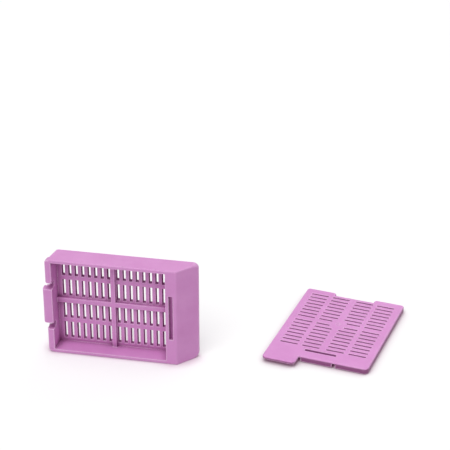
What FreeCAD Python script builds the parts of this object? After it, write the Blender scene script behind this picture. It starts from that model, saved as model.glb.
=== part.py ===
"""Tissue cassette: a perforated tray with a sloped writing face, and its detachable perforated lid.

The base stands on one long side, its open tray facing -Y and its writing face towards +X.
The lid lies flat beside it, outer face up. Both are single mouldings.

The row's origin is the middle of the base's resting side. Each moulding is drawn in a frame of its own
and then placed: the base lies with its opening up and its hinge end at x = 0, and the lid lies with its
near edge at y = 0. Millimetres.
"""

import FreeCAD, Part
import os
import Sketcher

# Driving sizes, in millimetres and degrees.
SIZES = {
    # Base, outside.
    "base_length": 41.0,
    "base_width": 28.7,
    "base_height": 6.4,
    "tip_corner_radius": 1.5,
    "hinge_corner_radius": 1.2,
    # Writing face: a slope that falls from the fold to a thin tip.
    "slope_run": 4.9,
    "tip_height": 1.2,
    "fold_radius": 0.8,
    "slope_wall": 1.1,
    # Tray.
    "side_wall": 1.0,
    "end_wall": 1.9,
    "flange_length": 3.0,
    "flange_thickness": 1.1,
    "latch_wall": 0.9,
    "floor_thickness": 1.4,
    "wall_draft": 0.13,
    "rim_edge_radius": 0.35,
    # Hinge end: a round-edged bead along the rim, with a lip in the middle between two notches.
    "bead_height": 2.4,
    "bead_step": 0.6,
    "bead_edge_radius": 0.9,
    "bead_end_inset": 0.4,
    "bead_end_bevel": 0.6,
    "hinge_taper": 0.7,
    "lip_reach": 0.85,
    "lip_width": 10.4,
    "notch_width": 1.9,
    "notch_depth": 2.6,
    # Latch slot in the flange.
    "latch_slot_length": 13.3,
    "latch_slot_width": 1.1,
    # Flow slots: columns along the tray in two halves, rows across it, the same rows in base and lid.
    "slot_width": 0.85,
    "slot_draft": 0.08,
    "slot_half_columns": 8,
    "slot_hinge_margin": 1.49,
    "slot_latch_margin": 1.1,
    "slot_middle_gap": 0.67,
    "slot_row_margin": 1.1,
    "slot_row_bar": 1.28,
    "slot_middle_bar": 1.94,
    # Raised ribs on the tray floor.
    "long_rib_width": 1.5,
    "cross_rib_width": 1.28,
    "rib_height": 1.0,
    "rib_edge_bevel": 0.15,
    # Lid.
    "lid_height": 1.9,
    "lid_border": 1.7,
    "lid_plate": 0.9,
    "lid_side_overhang": 0.1,
    "lid_end_overhang": 0.35,
    "lid_corner_radius": 1.4,
    "lid_edge_bevel": 0.25,
    "lid_tab_length": 1.5,
    "lid_tab_clearance": 0.5,
    "lid_tab_radius": 0.8,
    "handle_reach": 3.65,
    "handle_width": 9.5,
    "handle_thickness": 0.9,
    "handle_edge_radius": 0.5,
    "lid_slot_near_margin": 5.75,
    "lid_slot_far_margin": 2.94,
    "lid_slot_width": 0.64,
    "gate_slot_shortening": 1.13,
    "gate_radius": 0.7,
    "gate_height": 0.1,
    "relief_slot_length": 8.9,
    "relief_slot_width": 0.9,
    "tongue_depth": 3.15,
    "tongue_slit_width": 0.8,
    "tongue_slit_cover": 0.5,
    # Lid underside: latch hook, hinge lugs and side rails.
    "hook_clearance": 0.15,
    "hook_length": 8.5,
    "lug_clearance": 0.25,
    "lug_length": 1.2,
    "lug_setback": 0.3,
    "rail_width": 0.6,
    "rail_clearance": 0.25,
    "rail_end_clearance": 1.0,
    # Where the lid lies: from the tip of the base to the middle of the lid's near edge.
    "lid_from_tip": 31.95,
    "lid_behind_middle": 4.02,
    "lid_turn_angle": 10.0,
    # How far a cutting outline runs past the material it cuts.
    "cut_overrun": 1.0,
}

# Places closer together than this are the same place.
SAME_PLACE = 1e-6

document = FreeCAD.newDocument("tissue_cassette")
sheet = document.addObject("Spreadsheet::Sheet", "sizes")
for line_number, (alias, value) in enumerate(SIZES.items(), start=1):
    sheet.set(f"A{line_number}", alias)
    sheet.set(f"B{line_number}", str(value))
    sheet.setAlias(f"B{line_number}", alias)
document.recompute()


# Places worked out from the driving sizes, as expressions.
half_width = "(sizes.base_width / 2)"
fold_x = "(sizes.base_length - sizes.slope_run)"
tray_start = "sizes.end_wall"
tray_end = f"({fold_x} - sizes.flange_length)"
tray_half_width = f"({half_width} - sizes.side_wall)"
floor_top = "sizes.floor_thickness"
flange_underside = "(sizes.base_height - sizes.flange_thickness)"
# The latch slot lies against the tray's end wall, which is as thick as the slot leaves it.
latch_slot_start = f"({tray_end} + sizes.latch_wall)"
latch_slot_end = f"({latch_slot_start} + sizes.latch_slot_width)"
# Flow slots: four rows across the width, in pairs about the middle bar.
slot_rows_room = f"(2 * {tray_half_width} - 2 * sizes.slot_row_margin)"
slot_length = f"(({slot_rows_room} - sizes.slot_middle_bar - 2 * sizes.slot_row_bar) / 4)"
inner_row = "(sizes.slot_middle_bar / 2)"
row_pitch = f"({slot_length} + sizes.slot_row_bar)"
# The hollow behind the writing face follows the slope at the wall's thickness and stops short of the tip.
slope_fall = "(sizes.base_height - sizes.tip_height)"
slope_face = f"sqrt(sizes.slope_run ^ 2 + {slope_fall} ^ 2)"
hollow_drop = f"(sizes.slope_wall * {slope_face} / sizes.slope_run)"
hollow_end_x = "(sizes.base_length - sizes.slope_wall)"
hollow_end_z = f"(sizes.tip_height + sizes.slope_wall * {slope_fall} / sizes.slope_run - {hollow_drop})"
hollow_bend_x = (
    f"({fold_x} + (sizes.flange_thickness - {hollow_drop}) * sizes.slope_run / {slope_fall})"
)
# The lid covers the base from its fold to just past its hinge end.
lid_half_width = f"({half_width} + sizes.lid_side_overhang)"
lid_far = f"({fold_x} + sizes.lid_end_overhang)"
lid_underside = "(sizes.lid_height - sizes.lid_border)"
plate_underside = "(sizes.lid_height - sizes.lid_plate)"
handle_underside = "(sizes.lid_height - sizes.handle_thickness)"
# The notches lie on either side of the lip.
notch_inner = "(sizes.lip_width / 2)"
notch_outer = f"({notch_inner} + sizes.notch_width)"
notch_round = "(sizes.base_height - sizes.notch_depth + sizes.notch_width / 2)"
bead_underside = "(sizes.base_height - sizes.bead_height)"
taper_foot = "(sizes.bead_step + sizes.hinge_taper)"
below = "(0 - sizes.cut_overrun)"
above_rim = "(sizes.base_height + sizes.cut_overrun)"


def origin_feature(body, role):
    """One of the body's own origin planes or axes."""
    return next(item for item in body.Origin.OriginFeatures if item.Role == role)


def new_body(name):
    body = document.addObject("PartDesign::Body", name)
    body.Label = name
    return body


def new_sketch(body, name, plane, offset=None):
    """An empty sketch on one of the body's origin planes, raised along the plane's normal."""
    sketch = body.newObject("Sketcher::SketchObject", name)
    sketch.AttachmentSupport = [(origin_feature(body, plane), "")]
    sketch.MapMode = "FlatFace"
    if offset is not None:
        sketch.setExpression("AttachmentOffset.Base.z", offset)
    return sketch


def polygon(body, name, plane, corners, offset=None):
    """A closed outline whose corners are pairs of expressions."""
    sketch = new_sketch(body, name, plane, offset)
    add_outline(sketch, corners)
    return sketch


def circle(body, name, plane, across, up, radius, offset=None):
    sketch = new_sketch(body, name, plane, offset)
    centre = FreeCAD.Vector(number(across), number(up), 0)
    sketch.addGeometry(Part.Circle(centre, FreeCAD.Vector(0, 0, 1), number(radius)), False)
    for kind, expression, value in (("DistanceX", across, centre.x), ("DistanceY", up, centre.y)):
        place_at = sketch.addConstraint(Sketcher.Constraint(kind, -1, 1, 0, 3, value))
        sketch.setExpression(f"Constraints[{place_at}]", expression)
    round_at = sketch.addConstraint(Sketcher.Constraint("Radius", 0, number(radius)))
    sketch.setExpression(f"Constraints[{round_at}]", radius)
    return sketch


def add_outline(sketch, corners):
    first = sketch.GeometryCount
    points = []
    for across, up in corners:
        points.append(FreeCAD.Vector(number(across), number(up), 0))
    count = len(points)
    for index in range(count):
        sketch.addGeometry(Part.LineSegment(points[index], points[(index + 1) % count]), False)
    for index in range(count):
        follower = first + (index + 1) % count
        sketch.addConstraint(Sketcher.Constraint("Coincident", first + index, 2, follower, 1))
    for index, (across, up) in enumerate(corners):
        for kind, expression, value in (
            ("DistanceX", across, points[index].x),
            ("DistanceY", up, points[index].y),
        ):
            place_at = sketch.addConstraint(Sketcher.Constraint(kind, -1, 1, first + index, 1, value))
            sketch.setExpression(f"Constraints[{place_at}]", expression)


def rectangle(low_x, high_x, low_y, high_y):
    return [(low_x, low_y), (high_x, low_y), (high_x, high_y), (low_x, high_y)]


def pad(body, name, sketch, length, symmetric=False):
    feature = body.newObject("PartDesign::Pad", name)
    feature.Profile = sketch
    feature.SideType = "Symmetric" if symmetric else "One side"
    feature.setExpression("Length", length)
    document.recompute()
    return feature


def pocket(body, name, sketch, depth, symmetric=False):
    """A cut against the sketch's normal, or both ways from it."""
    feature = body.newObject("PartDesign::Pocket", name)
    feature.Profile = sketch
    feature.SideType = "Symmetric" if symmetric else "One side"
    feature.setExpression("Length", depth)
    document.recompute()
    return feature


def tapered_cut(body, name, low_x, high_x, low_y, high_y, bottom, top, draft):
    """A rectangular cut between two levels, narrower all round at the bottom by the draft."""
    wedge = body.newObject("PartDesign::SubtractiveWedge", name)
    wedge.AttachmentSupport = [(origin_feature(body, "XZ_Plane"), "")]
    wedge.MapMode = "FlatFace"
    # On this plane the wedge's own y is the body's z, and its own z is the body's -y.
    for cell, expression in (
        ("Ymin", bottom),
        ("Ymax", top),
        ("Xmin", f"{low_x} + {draft}"),
        ("Xmax", f"{high_x} - {draft}"),
        ("X2min", low_x),
        ("X2max", high_x),
        ("Zmin", f"0 - {high_y} + {draft}"),
        ("Zmax", f"0 - {low_y} - {draft}"),
        ("Z2min", f"0 - {high_y}"),
        ("Z2max", f"0 - {low_y}"),
    ):
        wedge.setExpression(cell, expression)
    document.recompute()
    return wedge


def repeat(body, name, original, steps):
    """Repeats a feature: each step is an axis with a count and a spacing, or a mirror plane."""
    moves = []
    for position, step in enumerate(steps, start=1):
        if len(step) == 1:
            move = body.newObject("PartDesign::Mirrored", f"{name}_mirror_{position}")
            move.MirrorPlane = (origin_feature(body, step[0]), [""])
        else:
            axis, count, spacing = step
            move = body.newObject("PartDesign::LinearPattern", f"{name}_line_{position}")
            move.Direction = (origin_feature(body, axis), [""])
            move.Mode = "Spacing"
            move.setExpression("Offset", spacing)
            move.setExpression("Occurrences", count)
        moves.append(move)
    pattern = body.newObject("PartDesign::MultiTransform", name)
    pattern.Originals = [original]
    pattern.Transformations = moves
    body.Tip = pattern
    document.recompute()
    return pattern


def edges_of(feature, along, test):
    """Names of the feature's straight edges along an axis, or in a plane, whose ends pass the test."""
    names = []
    for position, edge in enumerate(feature.Shape.Edges, start=1):
        ends = [vertex.Point for vertex in edge.Vertexes]
        if len(ends) == 2 and all(test(point) for point in ends):
            reach = (ends[1] - ends[0]).normalize()
            if all(near(getattr(reach, axis), 0) for axis in "xyz" if axis not in along):
                names.append(f"Edge{position}")
    return names


def round_edges(body, name, feature, along, test, radius):
    fillet = body.newObject("PartDesign::Fillet", name)
    fillet.Base = (feature, edges_of(feature, along, test))
    fillet.setExpression("Radius", f"sizes.{radius}")
    document.recompute()
    return fillet


def bevel_edges(body, name, feature, along, test, width):
    chamfer = body.newObject("PartDesign::Chamfer", name)
    chamfer.Base = (feature, edges_of(feature, along, test))
    chamfer.setExpression("Size", f"sizes.{width}")
    document.recompute()
    return chamfer


def number(expression):
    """The value of an expression now."""
    return float(sheet.evalExpression(expression))


def near(first, second):
    return abs(first - second) < SAME_PLACE


def column_pitch(room):
    """Pitch of the flow slots' columns over a length, with the wider gap in the middle."""
    return f"(({room} - sizes.slot_middle_gap) / (2 * sizes.slot_half_columns - 1))"


def build_base():
    body = new_body("cassette_base")
    length = "sizes.base_length"
    height = "sizes.base_height"
    tip_x = number(length)
    rim_z = number(height)
    fold = number(fold_x)
    half_y = number(half_width)
    foot_x = number(taper_foot)
    lip_x = number("0 - sizes.lip_reach")
    through = "(2 * sizes.base_width)"

    # The block in plan, with its upright corners rounded.
    outline = polygon(body, "base_outline", "XY_Plane",
                      rectangle("sizes.bead_step", length, f"(0 - {half_width})", half_width))
    shape = pad(body, "base_block", outline, height)
    shape = round_edges(body, "tip_corners", shape, "z", lambda p: near(p.x, tip_x), "tip_corner_radius")

    # Behind the bead the hinge end tapers in towards the underside.
    taper = polygon(body, "taper_outline", "XZ_Plane", [
        ("sizes.bead_step", bead_underside),
        (taper_foot, "0"),
        (taper_foot, below),
        (below, below),
        (below, bead_underside),
    ])
    shape = pocket(body, "hinge_taper", taper, through, symmetric=True)
    shape = round_edges(body, "hinge_corners", shape, "xz",
                        lambda p: p.x < foot_x or near(p.x, foot_x), "hinge_corner_radius")

    # The writing slope falls from the fold to the tip.
    beyond_tip = f"({length} + sizes.cut_overrun)"
    wedge = polygon(body, "slope_outline", "XZ_Plane", [
        (fold_x, height),
        (length, "sizes.tip_height"),
        (beyond_tip, "sizes.tip_height"),
        (beyond_tip, above_rim),
        (fold_x, above_rim),
    ])
    shape = pocket(body, "writing_slope", wedge, through, symmetric=True)
    shape = round_edges(body, "fold", shape, "y",
                        lambda p: near(p.x, fold) and near(p.z, rim_z), "fold_radius")
    shape = round_edges(body, "rim_edge", shape, "x",
                        lambda p: near(p.z, rim_z) and near(p.y, half_y), "rim_edge_radius")

    # The bead stands out from the hinge end along the rim, with its ends bevelled.
    bead_end = f"({half_width} - sizes.bead_end_inset)"
    bead_bevel = f"({bead_end} - sizes.bead_end_bevel)"
    bead_root = "(sizes.bead_step + sizes.hinge_corner_radius)"
    bead = polygon(body, "bead_outline", "XY_Plane", [
        ("0", f"(0 - {bead_bevel})"),
        ("sizes.bead_end_bevel", f"(0 - {bead_end})"),
        (bead_root, f"(0 - {bead_end})"),
        (bead_root, bead_end),
        ("sizes.bead_end_bevel", bead_end),
        ("0", bead_bevel),
    ], bead_underside)
    shape = pad(body, "bead", bead, "sizes.bead_height")
    shape = round_edges(body, "bead_edge", shape, "y",
                        lambda p: near(p.x, 0) and near(p.z, rim_z), "bead_edge_radius")

    # The lip stands out further from the middle of the bead, just as round.
    lip = polygon(body, "lip_outline", "XY_Plane",
                  rectangle("(0 - sizes.lip_reach)", "sizes.end_wall", f"(0 - {notch_inner})", notch_inner),
                  bead_underside)
    shape = pad(body, "lip", lip, "sizes.bead_height")
    shape = round_edges(body, "lip_edge", shape, "y",
                        lambda p: near(p.x, lip_x) and near(p.z, rim_z), "bead_edge_radius")

    # The tray's cavity, drafted towards its floor.
    shape = tapered_cut(body, "tray", tray_start, tray_end, f"(0 - {tray_half_width})", tray_half_width,
                        floor_top, height, "sizes.wall_draft")

    # A notch through the end wall and its bead on either side of the lip, round at its bottom.
    notch_run = "(2 * (sizes.end_wall + sizes.lip_reach))"
    notch = polygon(body, "notch_outline", "YZ_Plane",
                    rectangle(notch_inner, notch_outer, notch_round, above_rim))
    notch_cut = pocket(body, "notch", notch, notch_run, symmetric=True)
    repeat(body, "notches", notch_cut, [("XZ_Plane",)])
    bottom = circle(body, "notch_bottom_outline", "YZ_Plane", f"({notch_inner} + sizes.notch_width / 2)",
                    notch_round, "(sizes.notch_width / 2)")
    bottom_cut = pocket(body, "notch_bottom", bottom, notch_run, symmetric=True)
    repeat(body, "notch_bottoms", bottom_cut, [("XZ_Plane",)])

    # The hollow behind the writing face, open to the underside, with a gusset at each end.
    hollow = polygon(body, "hollow_outline", "XZ_Plane", [
        (latch_slot_start, below),
        (latch_slot_start, flange_underside),
        (hollow_bend_x, flange_underside),
        (hollow_end_x, hollow_end_z),
        (hollow_end_x, below),
    ])
    pocket(body, "hollow", hollow, f"(2 * {tray_half_width})", symmetric=True)

    # The latch slot through the flange, into that hollow.
    latch = polygon(body, "latch_slot_outline", "XY_Plane",
                    rectangle(latch_slot_start, latch_slot_end,
                              "(0 - sizes.latch_slot_length / 2)", "(sizes.latch_slot_length / 2)"),
                    height)
    pocket(body, "latch_slot", latch, "(sizes.flange_thickness + sizes.cut_overrun)")

    # Crossed ribs on the tray floor.
    first_column = f"({tray_start} + sizes.slot_hinge_margin + sizes.slot_width / 2)"
    last_column = f"({tray_end} - sizes.slot_latch_margin - sizes.slot_width / 2)"
    middle_column = f"(({first_column} + {last_column}) / 2)"
    long_rib = polygon(body, "long_rib_outline", "XY_Plane",
                       rectangle(tray_start, tray_end, "(0 - sizes.long_rib_width / 2)",
                                 "(sizes.long_rib_width / 2)"), floor_top)
    pad(body, "long_rib", long_rib, "sizes.rib_height")
    cross_rib = polygon(body, "cross_rib_outline", "XY_Plane",
                        rectangle(f"({middle_column} - sizes.cross_rib_width / 2)",
                                  f"({middle_column} + sizes.cross_rib_width / 2)",
                                  f"(0 - {tray_half_width})", tray_half_width), floor_top)
    shape = pad(body, "cross_rib", cross_rib, "sizes.rib_height")
    rib_z = number(f"({floor_top} + sizes.rib_height)")
    shape = bevel_edges(body, "rib_edges", shape, "xy", lambda p: near(p.z, rib_z), "rib_edge_bevel")

    # Flow slots: two halves of columns, two pairs of rows.
    pitch = column_pitch(f"({last_column} - {first_column})")
    slot = tapered_cut(body, "slot", f"({first_column} - sizes.slot_width / 2)",
                       f"({first_column} + sizes.slot_width / 2)",
                       inner_row, f"({inner_row} + {slot_length})", "0", floor_top, "sizes.slot_draft")
    repeat(body, "slots", slot, [
        ("X_Axis", "sizes.slot_half_columns", pitch),
        ("X_Axis", "2", f"(sizes.slot_half_columns * {pitch} + sizes.slot_middle_gap)"),
        ("Y_Axis", "2", row_pitch),
        ("XZ_Plane",),
    ])
    place(body, "0 - sizes.base_length / 2", "sizes.base_height / 2", half_width,
          FreeCAD.Vector(1, 0, 0), "90")
    return body


def build_lid():
    body = new_body("cassette_lid")
    left = f"(0 - {lid_half_width})"
    right = lid_half_width
    near_edge = "0"
    handle_right = f"({left} + sizes.handle_width)"
    handle_end = "(0 - sizes.handle_reach)"
    recess_half = f"({notch_inner} + sizes.lid_tab_clearance)"
    recess_edge = f"({lid_far} - sizes.lid_tab_length)"
    outline = polygon(body, "lid_outline", "XY_Plane", [
        (left, handle_end),
        (handle_right, handle_end),
        (handle_right, near_edge),
        (right, near_edge),
        (right, lid_far),
        (recess_half, lid_far),
        (recess_half, recess_edge),
        (f"(0 - {recess_half})", recess_edge),
        (f"(0 - {recess_half})", lid_far),
        (left, lid_far),
    ], lid_underside)
    shape = pad(body, "lid_plate", outline, "sizes.lid_border")
    near_y = number(handle_end)
    far_y = number(lid_far)
    right_x = number(right)
    shape = round_edges(body, "handle_corners", shape, "z", lambda p: near(p.y, near_y), "lid_corner_radius")
    shape = round_edges(body, "lid_corner", shape, "z",
                        lambda p: near(p.y, 0) and near(p.x, right_x), "lid_corner_radius")
    shape = round_edges(body, "tab_corners", shape, "z", lambda p: near(p.y, far_y), "lid_tab_radius")
    top_z = number("sizes.lid_height")
    shape = round_edges(body, "handle_edge", shape, "x",
                        lambda p: near(p.z, top_z) and near(p.y, near_y), "handle_edge_radius")
    shape = bevel_edges(body, "top_edges", shape, "xy", lambda p: near(p.z, top_z), "lid_edge_bevel")

    # The handle is thinner than the border behind it, and clear of what the lid lies on.
    gap = polygon(body, "handle_gap_outline", "XY_Plane", [
        (f"({left} - sizes.cut_overrun)", f"({handle_end} - sizes.cut_overrun)"),
        (f"({handle_right} + sizes.cut_overrun)", f"({handle_end} - sizes.cut_overrun)"),
        (f"({handle_right} + sizes.cut_overrun)", near_edge),
        (f"({left} - sizes.cut_overrun)", near_edge),
    ], handle_underside)
    pocket(body, "handle_gap", gap, "sizes.lid_height")

    # The underside is hollow over the tray, so that the border sits on the tray's rim.
    hollow = polygon(body, "underside_hollow_outline", "XY_Plane",
                     rectangle(f"(0 - {tray_half_width})", tray_half_width,
                               "sizes.flange_length", f"({fold_x} - {tray_start})"), plate_underside)
    pocket(body, "underside_hollow", hollow, f"({plate_underside} + sizes.cut_overrun)")

    # Flow slots: the base's rows become the lid's columns. Those beside the gate are shorter.
    first_row = "sizes.lid_slot_near_margin"
    last_row = f"({lid_far} - sizes.lid_slot_far_margin)"
    middle_row = f"(({first_row} + {last_row}) / 2)"
    pitch = column_pitch(f"({last_row} - {first_row})")
    rows = "sizes.slot_half_columns"
    half_shift = f"({rows} * {pitch} + sizes.slot_middle_gap)"
    inner_end = f"({inner_row} + {slot_length})"
    outer_slot = lid_slot(body, "outer_slot", f"({inner_row} + {row_pitch})", f"({inner_end} + {row_pitch})",
                          first_row)
    repeat(body, "outer_slots", outer_slot, [
        ("Y_Axis", rows, pitch),
        ("Y_Axis", "2", half_shift),
        ("YZ_Plane",),
    ])
    inner_slot = lid_slot(body, "inner_slot", inner_row, inner_end, first_row)
    repeat(body, "inner_slots", inner_slot, [
        ("Y_Axis", f"({rows} - 1)", pitch),
        ("Y_Axis", "2", f"({half_shift} + {pitch})"),
        ("YZ_Plane",),
    ])
    gate_slot = lid_slot(body, "gate_slot", f"({inner_row} + sizes.gate_slot_shortening)", inner_end,
                         f"({middle_row} - ({pitch} + sizes.slot_middle_gap) / 2)")
    repeat(body, "gate_slots", gate_slot, [
        ("Y_Axis", "2", f"({pitch} + sizes.slot_middle_gap)"),
        ("YZ_Plane",),
    ])
    gate = circle(body, "gate_outline", "XY_Plane", "0", middle_row, "sizes.gate_radius", "sizes.lid_height")
    pad(body, "gate", gate, "sizes.gate_height")

    # The relief slot frees a tongue at the middle of the near edge, and the latch hook is under it.
    relief = polygon(body, "relief_outline", "XY_Plane",
                     rectangle("(0 - sizes.relief_slot_length / 2)", "(sizes.relief_slot_length / 2)",
                               "sizes.tongue_depth", "(sizes.tongue_depth + sizes.relief_slot_width)"),
                     "sizes.lid_height")
    pocket(body, "relief_slot", relief, "(sizes.lid_plate + sizes.cut_overrun)")
    tongue_end = "(sizes.relief_slot_length / 2)"
    slit = polygon(body, "tongue_slit_outline", "XZ_Plane",
                   rectangle(tongue_end, f"({tongue_end} + sizes.tongue_slit_width)",
                             below, "(sizes.lid_height - sizes.tongue_slit_cover)"))
    slit_cut = pocket(body, "tongue_slit", slit, "(2 * sizes.flange_length)", symmetric=True)
    repeat(body, "tongue_slits", slit_cut, [("YZ_Plane",)])
    underside = new_sketch(body, "underside_outline", "XY_Plane")
    add_outline(underside, rectangle(
        "(0 - sizes.hook_length / 2)", "(sizes.hook_length / 2)",
        f"({fold_x} - {latch_slot_end} + sizes.hook_clearance)",
        f"({fold_x} - {latch_slot_start} - sizes.hook_clearance)"))

    # Hinge lugs under the far tabs drop into the notches, and side rails lie inside the tray's walls.
    lug_far = f"({lid_far} - sizes.lug_setback)"
    rail_outer = f"({tray_half_width} - sizes.rail_clearance)"
    for low_x, high_x, low_y, high_y in (
        (recess_half, f"({notch_outer} - sizes.lug_clearance)", f"({lug_far} - sizes.lug_length)", lug_far),
        (f"({rail_outer} - sizes.rail_width)", rail_outer,
         f"({fold_x} - {tray_end} + sizes.rail_end_clearance)",
         f"({fold_x} - {tray_start} - sizes.rail_end_clearance)"),
    ):
        add_outline(underside, rectangle(low_x, high_x, low_y, high_y))
        add_outline(underside, rectangle(f"(0 - {high_x})", f"(0 - {low_x})", low_y, high_y))
    pad(body, "hook_lugs_and_rails", underside, plate_underside)
    place(body, "sizes.base_length / 2 + sizes.lid_from_tip", "sizes.lid_behind_middle", "0",
          FreeCAD.Vector(0, 0, 1), "0 - sizes.lid_turn_angle")
    return body


def lid_slot(body, name, low_x, high_x, middle_y):
    """One flow slot through the lid's plate."""
    return tapered_cut(body, name, low_x, high_x,
                       f"({middle_y} - sizes.lid_slot_width / 2)", f"({middle_y} + sizes.lid_slot_width / 2)",
                       plate_underside, "sizes.lid_height", "sizes.slot_draft")


def place(body, x, y, z, axis, angle):
    """Puts a body in the row's frame: a turn about an axis through its own origin, then a shift."""
    body.Placement = FreeCAD.Placement(FreeCAD.Vector(0, 0, 0), FreeCAD.Rotation(axis, number(angle)))
    body.setExpression("Placement.Rotation.Angle", angle)
    body.setExpression("Placement.Base.x", x)
    body.setExpression("Placement.Base.y", y)
    body.setExpression("Placement.Base.z", z)


def check(bodies):
    """Stops before anything is written if a feature or a body is faulty."""
    for item in document.Objects:
        if "Invalid" in item.State or "Error" in item.State:
            raise ValueError(f"{item.Label}: {item.State}")
    for body in bodies:
        if body.Shape.isNull() or not body.Shape.isValid() or len(body.Shape.Solids) != 1:
            raise ValueError(f"{body.Label} is not one valid solid")
        previous = 0.0
        for feature in body.Group:
            if not feature.isDerivedFrom("PartDesign::Feature") or feature.Shape.isNull():
                continue
            volume = feature.Shape.Volume
            if feature.isDerivedFrom("PartDesign::Pad") and volume <= previous:
                raise ValueError(f"{body.Label}: {feature.Label} adds nothing")
            if feature.isDerivedFrom("PartDesign::Pocket") and volume >= previous:
                raise ValueError(f"{body.Label}: {feature.Label} cuts nothing")
            previous = volume


bodies = [build_base(), build_lid()]
document.recompute()
check(bodies)
os.makedirs("parts", exist_ok=True)
for body in bodies:
    body.Shape.exportStep(f"parts/{body.Label}.step")
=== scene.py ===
"""Looks of the tissue cassette: the standing base and its detached lid, on a plain white floor."""

import math

import bmesh
import bpy
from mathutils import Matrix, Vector, geometry
from mathutils.bvhtree import BVHTree


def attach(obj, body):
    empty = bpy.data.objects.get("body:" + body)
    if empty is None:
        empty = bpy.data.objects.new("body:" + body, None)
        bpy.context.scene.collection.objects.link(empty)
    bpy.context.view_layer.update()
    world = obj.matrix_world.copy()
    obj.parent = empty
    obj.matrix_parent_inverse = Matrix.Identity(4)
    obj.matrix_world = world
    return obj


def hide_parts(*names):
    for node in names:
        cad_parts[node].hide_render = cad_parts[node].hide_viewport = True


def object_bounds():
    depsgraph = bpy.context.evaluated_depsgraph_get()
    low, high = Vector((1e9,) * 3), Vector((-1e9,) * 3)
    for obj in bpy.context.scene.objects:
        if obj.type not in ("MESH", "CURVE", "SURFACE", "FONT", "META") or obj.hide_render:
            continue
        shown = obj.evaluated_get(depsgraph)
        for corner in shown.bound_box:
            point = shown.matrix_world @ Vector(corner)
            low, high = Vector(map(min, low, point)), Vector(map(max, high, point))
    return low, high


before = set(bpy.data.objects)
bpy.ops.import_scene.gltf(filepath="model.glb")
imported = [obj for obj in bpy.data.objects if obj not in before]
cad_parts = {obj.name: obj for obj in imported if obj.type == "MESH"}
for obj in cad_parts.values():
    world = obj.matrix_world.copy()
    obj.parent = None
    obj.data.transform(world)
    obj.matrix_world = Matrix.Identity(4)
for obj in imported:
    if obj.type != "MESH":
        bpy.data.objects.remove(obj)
cad_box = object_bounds()

MM = 0.001

# Camera: where it stands in the row's frame, the degrees that it is turned and tilted, and its lens in mm.
CAMERA_AT = Vector((100.30, -365.15, 234.80)) * MM
CAMERA_AZIMUTH = 11.173
CAMERA_ELEVATION = 27.35
CAMERA_LENS = 129.57
SENSOR_WIDTH = 36.0
CLIP_START, CLIP_END = 0.01, 10.0

# Studio: sky level, floor, and the floor's painted contact shadow and painted pink bounce light near the
# object.
SKY_LEVEL = 0.38
WHITE = (1.0, 1.0, 1.0, 1.0)
FLOOR_COLOUR = (0.75, 0.75, 0.75, 1.0)
FLOOR_LIFT = 0.385
CONTACT_LIFT = 0.12
CONTACT_REACH = 4.5 * MM
CONTACT_RANGE = (0.45, 0.9)
FLOOR_SIZE = 6.0

# Lamps: offset from the object's middle, width and height in metres, and watts.
LAMPS = {
    "key": (Vector((-0.3, -1.1, 1.65)), 1.4, 1.4, 17.2),
    "top": (Vector((0.0, 0.0, 2.0)), 1.4, 1.4, 6.4),
    "back": (Vector((0.6, 1.7, 0.85)), 1.8, 1.4, 6.0),
}

# Moulded edges: how the mesh is cleaned, which edges are rounded and how far, and how faults are found.
MERGE_DISTANCE = 0.002 * MM
SHORTEST_EDGE = 0.06 * MM
FLAT_ANGLE = math.radians(0.5)
CREASE_ANGLE = math.radians(28)
SMOOTH_ANGLE = math.radians(50)
FOLD_ANGLE = math.radians(120)
EDGE_RADIUS = 0.09 * MM
EDGE_SEGMENTS = 2
EDGE_PROFILE = 0.5
EDGE_SLACK = 0.012 * MM
SPARED_REACH = 0.3 * MM
ROUNDING_TRIES = 6
FLATTENING_TOLERANCE = 1e-6
FLAT_FACE_WEIGHT = 100

# Plastic: gloss, the glow inside it, and the scale of its clouds and grain.
PLASTIC_IOR = 1.48
GLOW_WEIGHT = 0.08
GLOW_RADIUS = (1.0, 0.45, 0.9)
GLOW_SCALE = 0.5 * MM
CLOUD_SCALE = 140.0
CLOUD_DETAIL = 4.0
CLOUD_ROUGHNESS = 0.55
CLOUD_STOPS = (0.3, 0.5, 0.7)
ROUGHNESS_RANGE = (0.34, 0.46)
GRAIN_SCALE = 5200.0
GRAIN_DETAIL = 2.0
GRAIN_STRENGTH = 0.12
GRAIN_DEPTH = 0.02 * MM

# Plastic: its painted shade in recesses and near what it lies on, its sheen dimmed deep inside as painted
# shade, and the painted highlight on its edges. A reach is how far around a point it looks, and a range is
# the openness that it acts over.
SHADE_SAMPLES = 8
NEAR_REACH = 3.0 * MM
RECESS_RANGE = (0.15, 0.9)
RECESS_STRENGTH = 0.88
RESTING_RANGE = (0.0, 0.15)
WIDE_REACH = 6.0 * MM
SHEEN_RANGE = (0.5, 0.85)
SHEEN_LEVEL = 0.33
# Painted highlight along edges: its samples, reach, range and strength.
EDGE_HIGHLIGHT_SAMPLES = 6
EDGE_HIGHLIGHT_REACH = 0.5 * MM
EDGE_HIGHLIGHT_RANGE = (1.0, 0.9)
EDGE_HIGHLIGHT_STRENGTH = 0.9
OPEN_RANGE = (0.35, 0.65)


def srgb(red, green, blue):
    """Linear colour of an sRGB colour given in 0 to 255."""
    def linear(value):
        value /= 255
        return value / 12.92 if value <= 0.04045 else ((value + 0.055) / 1.055) ** 2.4
    return (linear(red), linear(green), linear(blue), 1.0)


# Colours: the floor's painted pink bounce light near the object, the painted highlight on edges, the painted
# shade near what a piece lies on, and the plastic of both mouldings with its painted shade in recesses.
# Painted pink bounce light that the floor glows with where the object nearly touches it.
PAINTED_BOUNCE_COLOUR = srgb(208, 92, 168)
# Colour of the painted highlight along edges in the open.
EDGE_HIGHLIGHT_COLOUR = srgb(252, 212, 246)
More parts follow.
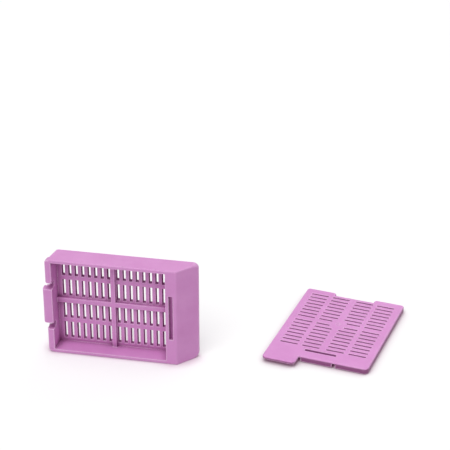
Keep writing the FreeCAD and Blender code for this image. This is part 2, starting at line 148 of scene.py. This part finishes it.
# Colour of the painted shade where the plastic lies close to another thing.
RESTING_SHADE_COLOUR = srgb(138, 70, 120)
BASE_COLOURS = (srgb(222, 148, 211), srgb(226, 154, 216), srgb(230, 160, 220))
# Painted shade colour for the base's recesses.
BASE_RECESS_SHADE = srgb(112, 32, 88)
# Strength of the painted shade near what a piece lies on: none on the base, nearly full on the lid.
BASE_RESTING = 0.0
LID_COLOURS = (srgb(225, 148, 215), srgb(230, 154, 220), srgb(234, 160, 225))
# Painted shade colour for the lid's recesses.
LID_RECESS_SHADE = srgb(196, 104, 176)
LID_RESTING = 0.9


def new_material(name):
    """An empty node material, its nodes and its links."""
    material = bpy.data.materials.new(name)
    material.use_nodes = True
    material.node_tree.nodes.clear()
    return material, material.node_tree.nodes, material.node_tree.links


def remap(nodes, links, value, from_range, to_range):
    """A value moved from one range to another, and held inside it."""
    node = nodes.new("ShaderNodeMapRange")
    node.inputs["From Min"].default_value, node.inputs["From Max"].default_value = from_range
    node.inputs["To Min"].default_value, node.inputs["To Max"].default_value = to_range
    links.new(value, node.inputs["Value"])
    return node.outputs["Result"]


def combine(nodes, links, operation, first, second):
    """Two values put through one step of arithmetic."""
    node = nodes.new("ShaderNodeMath")
    node.operation = operation
    links.new(first, node.inputs[0])
    links.new(second, node.inputs[1])
    return node.outputs["Value"]


def colour_mix(nodes, links, amount, towards):
    """A mix of two colours by an amount, whose first colour, A, is still to be given."""
    node = nodes.new("ShaderNodeMix")
    node.data_type = "RGBA"
    links.new(amount, node.inputs["Factor"])
    node.inputs["B"].default_value = towards
    return node


def tinted(nodes, links, amount, colour, towards):
    """A material's colour drawn towards another by an amount."""
    node = colour_mix(nodes, links, amount, towards)
    links.new(colour, node.inputs["A"])
    return node.outputs["Result"]


def noise(nodes, links, place, scale, detail):
    """A noise pattern fixed to the piece."""
    node = nodes.new("ShaderNodeTexNoise")
    node.inputs["Scale"].default_value = scale
    node.inputs["Detail"].default_value = detail
    links.new(place, node.inputs["Vector"])
    return node


def openness(nodes, reach, own_piece_only):
    """How open the surroundings are within a reach: 1 in the open, 0 where closed in."""
    node = nodes.new("ShaderNodeAmbientOcclusion")
    node.samples = SHADE_SAMPLES
    node.only_local = own_piece_only
    node.inputs["Distance"].default_value = reach
    return node.outputs["AO"]


def edge_nearness(nodes, links):
    """How near an edge is: 0 on a plain face, the painted edge highlight's strength at an edge."""
    around = nodes.new("ShaderNodeBevel")
    around.samples = EDGE_HIGHLIGHT_SAMPLES
    around.inputs["Radius"].default_value = EDGE_HIGHLIGHT_REACH
    surface = nodes.new("ShaderNodeNewGeometry")
    turned = nodes.new("ShaderNodeVectorMath")
    turned.operation = "DOT_PRODUCT"
    links.new(around.outputs["Normal"], turned.inputs[0])
    links.new(surface.outputs["Normal"], turned.inputs[1])
    return remap(nodes, links, turned.outputs["Value"], EDGE_HIGHLIGHT_RANGE, (0.0, EDGE_HIGHLIGHT_STRENGTH))


def backdrop_ray(nodes, links):
    """1 for a ray that shows the backdrop: from the camera, mirrored in a surface or passed through one."""
    path = nodes.new("ShaderNodeLightPath")
    seen = combine(nodes, links, "MAXIMUM", path.outputs["Is Camera Ray"], path.outputs["Is Glossy Ray"])
    return combine(nodes, links, "MAXIMUM", seen, path.outputs["Is Transmission Ray"])


def cloudy_colour(nodes, links, amount, colours):
    """A colour that drifts between three close ones."""
    ramp = nodes.new("ShaderNodeValToRGB")
    stops = ramp.color_ramp.elements
    stops[0].position, stops[1].position = CLOUD_STOPS[0], CLOUD_STOPS[2]
    stops.new(CLOUD_STOPS[1])
    for stop, colour in zip(stops, colours):
        stop.color = colour
    links.new(amount, ramp.inputs["Fac"])
    return ramp.outputs["Color"]


def moulded_plastic(name, colours, recess_shade, resting):
    """Satin acetal: cloudy colour, painted shade in recesses and where it rests, painted highlight on edges,
    fine grain.
    """
    material, nodes, links = new_material(name)
    output = nodes.new("ShaderNodeOutputMaterial")
    shader = nodes.new("ShaderNodeBsdfPrincipled")
    shader.inputs["IOR"].default_value = PLASTIC_IOR
    shader.inputs["Subsurface Weight"].default_value = GLOW_WEIGHT
    shader.inputs["Subsurface Radius"].default_value = GLOW_RADIUS
    shader.inputs["Subsurface Scale"].default_value = GLOW_SCALE
    links.new(shader.outputs["BSDF"], output.inputs["Surface"])

    place = nodes.new("ShaderNodeTexCoord").outputs["Object"]
    clouds = noise(nodes, links, place, CLOUD_SCALE, CLOUD_DETAIL)
    clouds.inputs["Roughness"].default_value = CLOUD_ROUGHNESS
    colour = cloudy_colour(nodes, links, clouds.outputs["Fac"], colours)

    wide = openness(nodes, WIDE_REACH, True)
    near = openness(nodes, NEAR_REACH, True)
    # Painted shade: the colour darkens where the piece closes in on itself.
    recess_shade_amount = remap(nodes, links, near, RECESS_RANGE, (RECESS_STRENGTH, 0.0))
    colour = tinted(nodes, links, recess_shade_amount, colour, recess_shade)
    # Painted shade where other things, such as the floor, close in near the piece.
    closed_by_others = combine(nodes, links, "SUBTRACT", near, openness(nodes, NEAR_REACH, False))
    shade = remap(nodes, links, closed_by_others, RESTING_RANGE, (0.0, resting))
    colour = tinted(nodes, links, shade, colour, RESTING_SHADE_COLOUR)
    # A pale painted highlight along edges, only where the piece is open around them.
    in_the_open = remap(nodes, links, wide, OPEN_RANGE, (0.0, 1.0))
    edge_highlight = combine(nodes, links, "MULTIPLY", edge_nearness(nodes, links), in_the_open)
    links.new(tinted(nodes, links, edge_highlight, colour, EDGE_HIGHLIGHT_COLOUR), shader.inputs["Base Color"])
    # The gloss is dimmed where the piece is closed in: painted shade on its reflection.
    sheen = remap(nodes, links, wide, SHEEN_RANGE, (0.0, SHEEN_LEVEL))
    links.new(sheen, shader.inputs["Specular IOR Level"])
    roughness = remap(nodes, links, clouds.outputs["Fac"], (0.0, 1.0), ROUGHNESS_RANGE)
    links.new(roughness, shader.inputs["Roughness"])

    grain = noise(nodes, links, place, GRAIN_SCALE, GRAIN_DETAIL)
    bump = nodes.new("ShaderNodeBump")
    bump.inputs["Strength"].default_value = GRAIN_STRENGTH
    bump.inputs["Distance"].default_value = GRAIN_DEPTH
    links.new(grain.outputs["Fac"], bump.inputs["Height"])
    links.new(bump.outputs["Normal"], shader.inputs["Normal"])
    return material


def floor_material():
    """White for the camera, with a soft shadow from the lamps, and a painted shadow with painted pink bounce
    light where something nearly touches the floor.
    """
    material, nodes, links = new_material("floor_white")
    output = nodes.new("ShaderNodeOutputMaterial")
    diffuse = nodes.new("ShaderNodeBsdfDiffuse")
    diffuse.inputs["Color"].default_value = FLOOR_COLOUR
    glow = nodes.new("ShaderNodeEmission")
    # The floor's glow is cut and turned pink near the object: a painted contact shadow with painted pink
    # bounce light.
    clear = openness(nodes, CONTACT_REACH, False)
    lift = remap(nodes, links, clear, CONTACT_RANGE, (CONTACT_LIFT, FLOOR_LIFT))
    lift = combine(nodes, links, "MULTIPLY", lift, backdrop_ray(nodes, links))
    links.new(lift, glow.inputs["Strength"])
    colour = colour_mix(nodes, links, remap(nodes, links, clear, CONTACT_RANGE, (0.0, 1.0)), WHITE)
    colour.inputs["A"].default_value = PAINTED_BOUNCE_COLOUR
    links.new(colour.outputs["Result"], glow.inputs["Color"])
    both = nodes.new("ShaderNodeAddShader")
    links.new(diffuse.outputs["BSDF"], both.inputs[0])
    links.new(glow.outputs["Emission"], both.inputs[1])
    links.new(both.outputs["Shader"], output.inputs["Surface"])
    return material


def flat_regions(work):
    """The mesh's faces in connected groups that each lie in one plane."""
    seen = set()
    regions = []
    for seed in work.faces:
        if seed in seen:
            continue
        seen.add(seed)
        region, waiting = [seed], [seed]
        while waiting:
            for edge in waiting.pop().edges:
                for face in edge.link_faces:
                    if face not in seen and face.normal.dot(seed.normal) > math.cos(FLAT_ANGLE):
                        seen.add(face)
                        region.append(face)
                        waiting.append(face)
        regions.append(region)
    return regions


def triangles_inside(triangles, rim):
    """The numbers of the triangles that lie inside a rim, spreading inwards from its sides."""
    side = {(triangle[turn - 1], triangle[turn]): index
            for index, triangle in enumerate(triangles) for turn in range(3)}
    waiting = [side[pair] for pair in rim]
    inside = set(waiting)
    closed = set(rim) | {(second, first) for first, second in rim}
    while waiting:
        triangle = triangles[waiting.pop()]
        for turn in range(3):
            pair = (triangle[turn - 1], triangle[turn])
            beyond = side.get((pair[1], pair[0]))
            if pair not in closed and beyond not in inside:
                inside.add(beyond)
                waiting.append(beyond)
    return sorted(inside)


def even_triangles(work):
    """Give each flat region even triangles in place of its long thin ones."""
    work.normal_update()
    for region in flat_regions(work):
        members = set(region)
        edges = dict.fromkeys(edge for face in region for edge in face.edges)
        inner = [edge for edge in edges if all(face in members for face in edge.link_faces)]
        if not inner and len(region[0].verts) == 3:
            continue
        rim = [(loop.vert, loop.link_loop_next.vert) for face in region for loop in face.loops
               if not all(other in members for other in loop.edge.link_faces)]
        corners = list(dict.fromkeys(corner for pair in rim for corner in pair))
        number = {corner: index for index, corner in enumerate(corners)}
        rim = [(number[first], number[second]) for first, second in rim]
        normal = sum((face.normal * face.calc_area() for face in region), Vector()).normalized()
        across = normal.orthogonal().normalized()
        along = normal.cross(across)
        flat = [Vector((corner.co.dot(across), corner.co.dot(along))) / MM for corner in corners]
        points, _, triangles, sources, _, _ = geometry.delaunay_2d_cdt(flat, rim, [], 0, FLATTENING_TOLERANCE)
        if len(points) != len(flat):
            continue
        triangles = [[sources[index][0] for index in triangle] for triangle in triangles]
        kept = triangles_inside(triangles, rim)
        bmesh.ops.delete(work, geom=region, context="FACES_ONLY")
        for edge in inner:
            work.edges.remove(edge)
        for index in kept:
            work.faces.new([corners[corner] for corner in triangles[index]])
    work.normal_update()


def near_edge(edge, point):
    """Whether a point lies within the spared reach of an edge."""
    first, second = (corner.co for corner in edge.verts)
    foot, share = geometry.intersect_point_line(point, first, second)
    foot = first.lerp(second, min(max(share, 0.0), 1.0))
    return (point - foot).length < SPARED_REACH


def rounding_faults(work, solid):
    """Where a rounded mesh leaves the solid, opens or folds back."""
    faults = []
    for corner in work.verts:
        near, normal, _, _ = solid.find_nearest(corner.co)
        if (corner.co - near).dot(normal) > EDGE_SLACK:
            faults.append(corner.co.copy())
    for edge in work.edges:
        if not edge.is_manifold or edge.calc_face_angle(0) > FOLD_ANGLE:
            faults.append((edge.verts[0].co + edge.verts[1].co) / 2)
    return faults


def rounded_copy(mesh):
    """A moulding's mesh with its outer edges rounded, sparing those too cramped for it."""
    work = bmesh.new()
    work.from_mesh(mesh)
    bmesh.ops.remove_doubles(work, verts=work.verts, dist=MERGE_DISTANCE)
    solid = BVHTree.FromBMesh(work)
    bmesh.ops.dissolve_limit(work, angle_limit=FLAT_ANGLE, verts=work.verts, edges=work.edges)
    bmesh.ops.remove_doubles(work, verts=work.verts, dist=SHORTEST_EDGE)
    even_triangles(work)
    spared = []
    for _ in range(ROUNDING_TRIES):
        rounded = work.copy()
        creases = [edge for edge in rounded.edges if edge.calc_face_angle_signed(0) > CREASE_ANGLE
                   and not any(near_edge(edge, point) for point in spared)]
        bmesh.ops.bevel(rounded, geom=creases, offset=EDGE_RADIUS, offset_type="OFFSET",
                        segments=EDGE_SEGMENTS, profile=EDGE_PROFILE, affect="EDGES", clamp_overlap=False,
                        miter_outer="ARC")
        rounded.normal_update()
        faults = rounding_faults(rounded, solid)
        if not faults:
            break
        spared += faults
    for face in rounded.faces:
        face.smooth = True
    for edge in rounded.edges:
        edge.smooth = edge.calc_face_angle(0) < SMOOTH_ANGLE
    result = bpy.data.meshes.new(mesh.name)
    rounded.to_mesh(result)
    return result


def moulding(node, name, material):
    """A CAD moulding with its sharp outer edges rounded as its mould rounds them."""
    mesh = rounded_copy(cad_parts[node].data)
    mesh.name = name
    mesh.materials.append(material)
    piece = bpy.data.objects.new(name, mesh)
    bpy.context.scene.collection.objects.link(piece)
    weighted = piece.modifiers.new("weighted_normals", "WEIGHTED_NORMAL")
    weighted.keep_sharp = True
    weighted.weight = FLAT_FACE_WEIGHT
    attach(piece, "root")
    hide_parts(node)


def make_floor():
    """The pale floor that the object stands on."""
    half = FLOOR_SIZE / 2
    mesh = bpy.data.meshes.new("floor")
    mesh.from_pydata([(-half, -half, 0), (half, -half, 0), (half, half, 0), (-half, half, 0)],
                     [], [(0, 1, 2, 3)])
    mesh.materials.append(floor_material())
    floor = bpy.data.objects.new("floor", mesh)
    bpy.context.scene.collection.objects.link(floor)


def make_world():
    """A plain sky that lights softly and shows as white."""
    world = bpy.data.worlds.new("studio")
    bpy.context.scene.world = world
    world.use_nodes = True
    nodes, links = world.node_tree.nodes, world.node_tree.links
    nodes.clear()
    output = nodes.new("ShaderNodeOutputWorld")
    background = nodes.new("ShaderNodeBackground")
    background.inputs["Color"].default_value = WHITE
    level = remap(nodes, links, backdrop_ray(nodes, links), (0.0, 1.0), (SKY_LEVEL, 1.0))
    links.new(level, background.inputs["Strength"])
    links.new(background.outputs["Background"], output.inputs["Surface"])


def soft_box(name, centre, lamp):
    """A soft lamp that faces the object, given by its offset, width, height and watts."""
    offset, width, height, watts = lamp
    light = bpy.data.lights.new(name, "AREA")
    light.shape = "RECTANGLE"
    light.size, light.size_y = width, height
    light.energy = watts
    box = bpy.data.objects.new(name, light)
    box.location = centre + offset
    box.rotation_mode = "QUATERNION"
    box.rotation_quaternion = (-offset).to_track_quat("-Z", "Y")
    bpy.context.scene.collection.objects.link(box)


def make_camera():
    """The camera, which looks down on the object from the front right."""
    data = bpy.data.cameras.new("camera")
    data.sensor_width = SENSOR_WIDTH
    data.lens = CAMERA_LENS
    data.clip_start, data.clip_end = CLIP_START, CLIP_END
    camera = bpy.data.objects.new("camera", data)
    azimuth, elevation = math.radians(CAMERA_AZIMUTH), math.radians(CAMERA_ELEVATION)
    look = Vector((-math.sin(azimuth) * math.cos(elevation), math.cos(azimuth) * math.cos(elevation),
                   -math.sin(elevation)))
    camera.location = CAMERA_AT
    camera.rotation_mode = "QUATERNION"
    camera.rotation_quaternion = look.to_track_quat("-Z", "Y")
    bpy.context.scene.collection.objects.link(camera)
    bpy.context.scene.camera = camera


moulding("cassette_base", "base",
         moulded_plastic("base_plastic", BASE_COLOURS, BASE_RECESS_SHADE, BASE_RESTING))
moulding("cassette_lid", "lid",
         moulded_plastic("lid_plastic", LID_COLOURS, LID_RECESS_SHADE, LID_RESTING))
make_floor()
make_world()
make_camera()
for lamp_name, lamp in LAMPS.items():
    soft_box(lamp_name, (cad_box[0] + cad_box[1]) / 2, lamp)

bpy.context.scene.view_settings.view_transform = "Standard"
